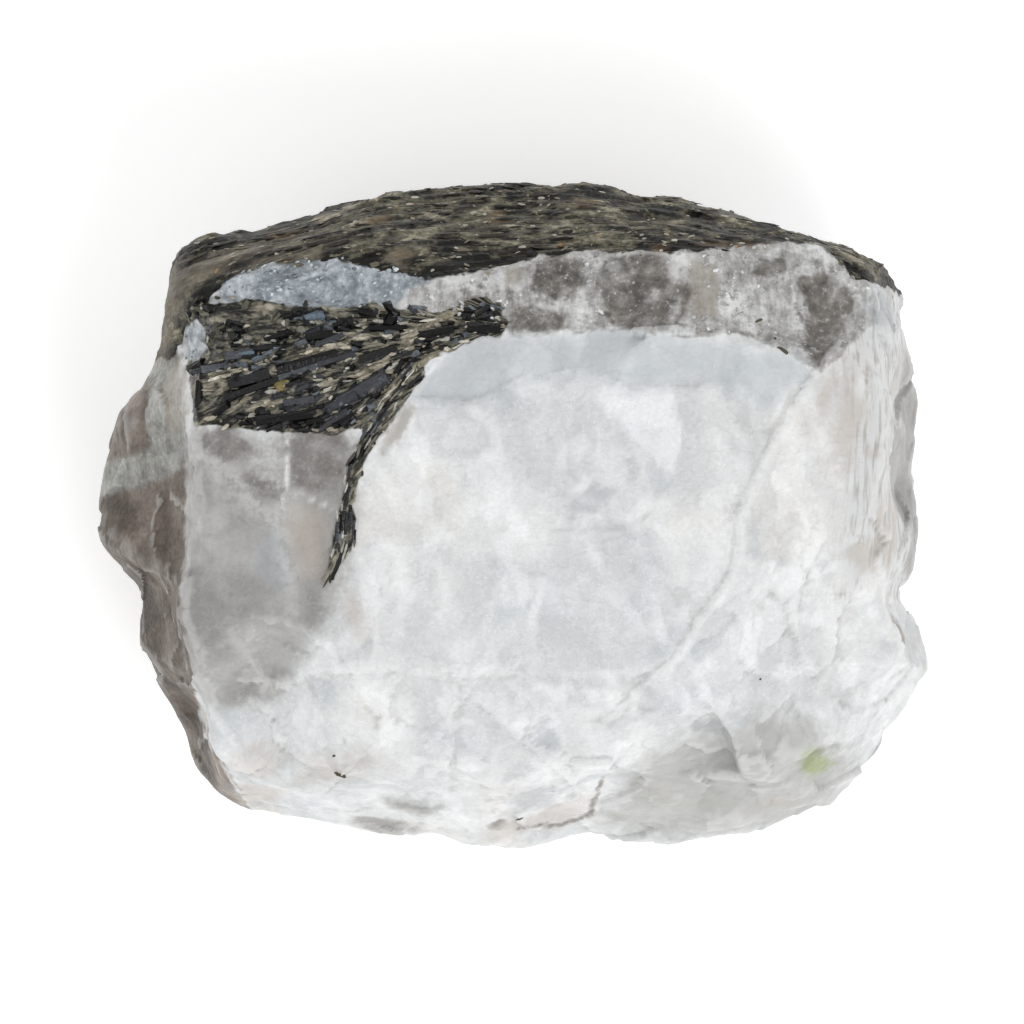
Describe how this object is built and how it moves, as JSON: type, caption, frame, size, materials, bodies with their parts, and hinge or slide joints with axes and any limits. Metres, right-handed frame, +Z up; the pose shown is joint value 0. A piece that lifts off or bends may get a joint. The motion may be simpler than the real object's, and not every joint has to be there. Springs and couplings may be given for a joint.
{
  "type": "rough moonstone",
  "caption": "Rough broken moonstone: blocky white feldspar with a dark mica schist crust along one side and a spray of black schorl blades in its upper face.",
  "frame": {"origin": "on the surface that the stone lies on, under the middle of its bounding box", "axes": "+X along the stone's longest extent, with the schorl spray at its -X end; +Y towards the dark schist crust; +Z up out of the broad white upper face"},
  "size_m": [0.044, 0.0362, 0.0262],
  "materials": {
    "moonstone": "broken white feldspar, pearly on its cleavage, with dark brown-grey schist and black schorl in places"
  },
  "bodies": {
    "root": {"moonstone": "moonstone"}
  },
  "joints": []
}
